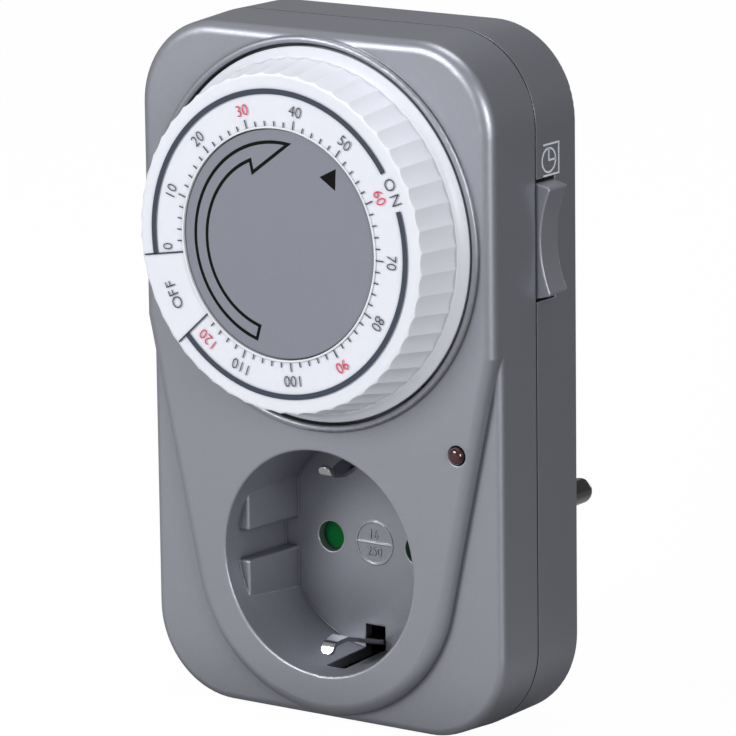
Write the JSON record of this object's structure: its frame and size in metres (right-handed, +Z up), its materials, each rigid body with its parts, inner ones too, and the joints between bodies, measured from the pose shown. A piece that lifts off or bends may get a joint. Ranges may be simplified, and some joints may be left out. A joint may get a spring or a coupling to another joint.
{
  "type": "plug-in timer switch",
  "caption": "Countdown timer with a ribbed dial above an earthed through-socket, an override rocker on one side, a lamp, and a mains plug on the back.",
  "frame": {"origin": "centre of the plug's end face, on the common axis of plug and socket", "axes": "+Y out of the back along the plug pins, -Y towards the viewer, +Z up from the socket to the dial, +X to the viewer's right"},
  "size_m": [0.0789, 0.0827, 0.1251],
  "materials": {
    "silver_housing": "satin silver grey with fine metallic flecks",
    "white_dial": "smooth white",
    "white_plastic": "natural acetal",
    "brass": "bright",
    "spring_steel": "bright nickel-plated strip",
    "steel": "zinc plated",
    "nickel_pin": "nickel plated",
    "green_shutter": "green",
    "grey_carrier": "dark grey insulating plastic",
    "red_lens": "dark red translucent dome",
    "board": "phenolic board",
    "resistor": "lacquered",
    "brown_wire": "brown insulation",
    "blue_wire": "blue insulation"
  },
  "bodies": {
    "housing": {"front_housing": "silver_housing", "rear_housing": "silver_housing", "marker_disc": "white_dial", "live_contact": "brass", "neutral_contact": "brass", "switch_terminal_live": "brass", "switch_terminal_load": "brass", "rocker_link_live": "brass", "rocker_link_load": "brass", "contact_spring": "brass", "fixed_contact": "brass", "retaining_clip": "spring_steel", "shutter_spring": "spring_steel", "rocker_pin": "spring_steel", "socket_earth_strip": "spring_steel", "plug_earth_strip": "spring_steel", "movement_plate": "steel", "motor": "steel", "housing_screws": "steel", "movement_screws": "steel", "motor_screws": "steel", "plug_pin_live": "nickel_pin", "plug_pin_neutral": "nickel_pin", "contact_carrier": "grey_carrier", "rocker_switch": "grey_carrier", "switch_block": "grey_carrier", "lamp": "red_lens", "lamp_board": "board", "dropper_resistor": "resistor", "live_lead": "brown_wire", "switched_lead": "brown_wire", "motor_lead_live": "brown_wire", "lamp_lead_live": "brown_wire", "motor_lead_neutral": "blue_wire", "lamp_lead_neutral": "blue_wire"},
    "dial": {"dial_knob": "white_dial", "clutch_washer": "spring_steel", "dial_gear": "white_plastic", "cam_disc": "white_plastic", "hub_ring": "spring_steel"},
    "second_gear": {"second_gear": "white_plastic"},
    "first_gear": {"first_gear": "white_plastic"},
    "motor_pinion": {"motor_pinion": "brass"},
    "rocker": {"rocker": "silver_housing"},
    "shutter": {"shutter": "green_shutter"}
  },
  "joints": [
    {"name": "dial_turn", "type": "hinge", "parent": "housing", "child": "dial", "pos_m": [0, -0.0532, 0.0591], "axis": [0, 1, 0], "continuous": true},
    {"name": "second_turn", "type": "hinge", "parent": "housing", "child": "second_gear", "pos_m": [-0.01879, -0.0432, 0.05226], "axis": [0, 1, 0], "continuous": true},
    {"name": "first_turn", "type": "hinge", "parent": "housing", "child": "first_gear", "pos_m": [-0.01901, -0.0422, 0.06626], "axis": [0, 1, 0], "continuous": true},
    {"name": "pinion_turn", "type": "hinge", "parent": "housing", "child": "motor_pinion", "pos_m": [-0.011, -0.0412, 0.0765], "axis": [0, 1, 0], "continuous": true},
    {"name": "rocker_tilt", "type": "hinge", "parent": "housing", "child": "rocker", "pos_m": [0.0338, -0.03745, 0.0597], "axis": [0, 1, 0], "range_deg": [-5, 5]},
    {"name": "shutter_turn", "type": "hinge", "parent": "housing", "child": "shutter", "pos_m": [0, -0.0329, 0], "axis": [0, 1, 0], "range_deg": [0, 40], "stiffness_Nm_per_rad": 0.0005, "springref_deg": -11.46}
  ],
  "couplings": [
    {"joint": "second_turn", "follows": "dial_turn", "ratio": -4},
    {"joint": "first_turn", "follows": "dial_turn", "ratio": 24},
    {"joint": "pinion_turn", "follows": "dial_turn", "ratio": -132}
  ]
}
